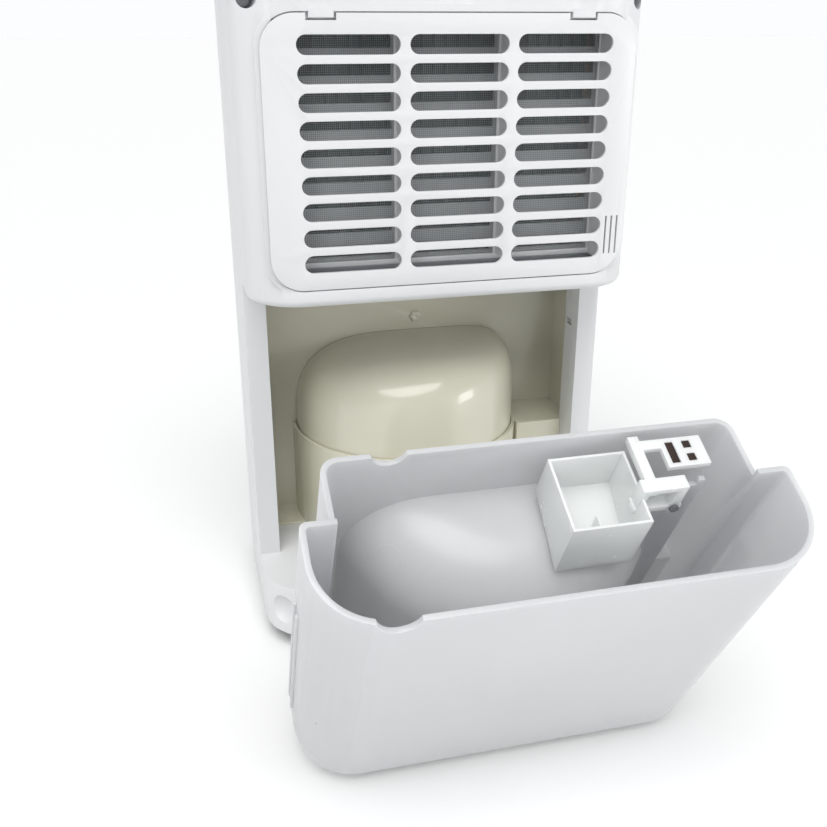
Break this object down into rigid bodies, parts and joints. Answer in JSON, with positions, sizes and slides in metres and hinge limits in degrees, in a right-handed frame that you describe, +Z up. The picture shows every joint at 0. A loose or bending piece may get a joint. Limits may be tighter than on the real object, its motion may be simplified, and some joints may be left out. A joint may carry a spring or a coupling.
{
  "type": "dehumidifier",
  "caption": "Upright compressor dehumidifier with a slotted intake cover and its water tank drawn out and tipped forward from the bay.",
  "frame": {"origin": "on the floor, under the middle of the box around the unit with its tank drawn out", "axes": "+Z up, -Y out of the tank side, +X to the right when facing the tank side"},
  "size_m": [0.27, 0.4424, 0.5016],
  "materials": {
    "casing_white": "semi-gloss moulded, cool white",
    "liner_cream": "glossy moulded, cream",
    "tank_white": "smooth moulded, slightly milky white",
    "float_milky": "translucent natural plastic",
    "grey_plastic": "fine matt texture",
    "button_grey": "satin moulded",
    "lens_dark": "polished dark window",
    "board_green": "printed circuit board",
    "net_grey": "fine woven net",
    "rubber_black": "matt rubber",
    "steel_screw": "plated steel",
    "fin_aluminium": "rolled fins",
    "copper_tube": "drawn copper tube",
    "compressor_black": "black enamel",
    "motor_zinc": "plated sheet steel",
    "fan_grey": "moulded fan wheel",
    "magnet_dark": "sintered magnet"
  },
  "bodies": {
    "casing": {"base": "casing_white", "rubber_feet": "rubber_black", "mains_gland": "rubber_black", "rear_casing": "casing_white", "front_casing": "casing_white", "casing_screws": "steel_screw", "bay_liner": "liner_cream", "compressor_cover": "liner_cream", "liner_screw": "steel_screw", "filter_guard": "casing_white", "evaporator": "fin_aluminium", "evaporator_bends": "copper_tube", "condenser": "fin_aluminium", "condenser_bends": "copper_tube", "drip_tray": "casing_white", "compressor": "compressor_black", "compressor_mounts": "rubber_black", "suction_pipe": "copper_tube", "discharge_pipe": "copper_tube", "filter_drier": "copper_tube", "fan_housing": "casing_white", "fan_motor": "motor_zinc", "top_cover": "casing_white", "outlet_grille": "grey_plastic", "control_panel": "grey_plastic", "display_lens": "lens_dark", "control_board": "board_green", "humidity_sensor": "grey_plastic", "reed_switch": "grey_plastic", "power_board": "grey_plastic"},
    "intake_cover": {"filter_cover": "casing_white", "filter_frame": "casing_white", "filter_net": "net_grey"},
    "tank": {"tank_body": "tank_white", "float_pin": "steel_screw"},
    "float_lever": {"float": "float_milky", "float_magnet": "magnet_dark"},
    "fan": {"fan_wheel": "fan_grey", "fan_shaft": "steel_screw"},
    "flap": {"outlet_flap": "casing_white"},
    "button_1": {"control_button_1": "button_grey"},
    "button_2": {"control_button_2": "button_grey"},
    "button_3": {"control_button_3": "button_grey"},
    "button_4": {"control_button_4": "button_grey"}
  },
  "joints": [
    {"name": "tank_draw", "type": "hinge", "parent": "casing", "child": "tank", "pos_m": [0, 0.04616, -0.2365], "axis": [1, 0, 0], "range_deg": [-30, 0]},
    {"name": "float_swing", "type": "hinge", "parent": "tank", "child": "float_lever", "pos_m": [0.072, -0.15745, 0.19616], "axis": [0, 0.866, 0.5], "range_deg": [0, 10]},
    {"name": "cover_hinge", "type": "hinge", "parent": "casing", "child": "intake_cover", "pos_m": [0, 0.02676, 0.2784], "axis": [1, 0, 0], "range_deg": [0, 65]},
    {"name": "fan_spin", "type": "hinge", "parent": "casing", "child": "fan", "pos_m": [0, 0.14416, 0.372], "axis": [0, 1, 0], "continuous": true},
    {"name": "flap_hinge", "type": "hinge", "parent": "casing", "child": "flap", "pos_m": [0, 0.17216, 0.496], "axis": [-1, 0, 0], "range_deg": [0, 75]},
    {"name": "button_1_press", "type": "slide", "parent": "casing", "child": "button_1", "axis": [0, 0, -1], "range_m": [0, 0.0012], "stiffness_N_per_m": 400, "springref_m": -0.0003},
    {"name": "button_2_press", "type": "slide", "parent": "casing", "child": "button_2", "axis": [0, 0, -1], "range_m": [0, 0.0012], "stiffness_N_per_m": 400, "springref_m": -0.0003},
    {"name": "button_3_press", "type": "slide", "parent": "casing", "child": "button_3", "axis": [0, 0, -1], "range_m": [0, 0.0012], "stiffness_N_per_m": 400, "springref_m": -0.0003},
    {"name": "button_4_press", "type": "slide", "parent": "casing", "child": "button_4", "axis": [0, 0, -1], "range_m": [0, 0.0012], "stiffness_N_per_m": 400, "springref_m": -0.0003}
  ]
}
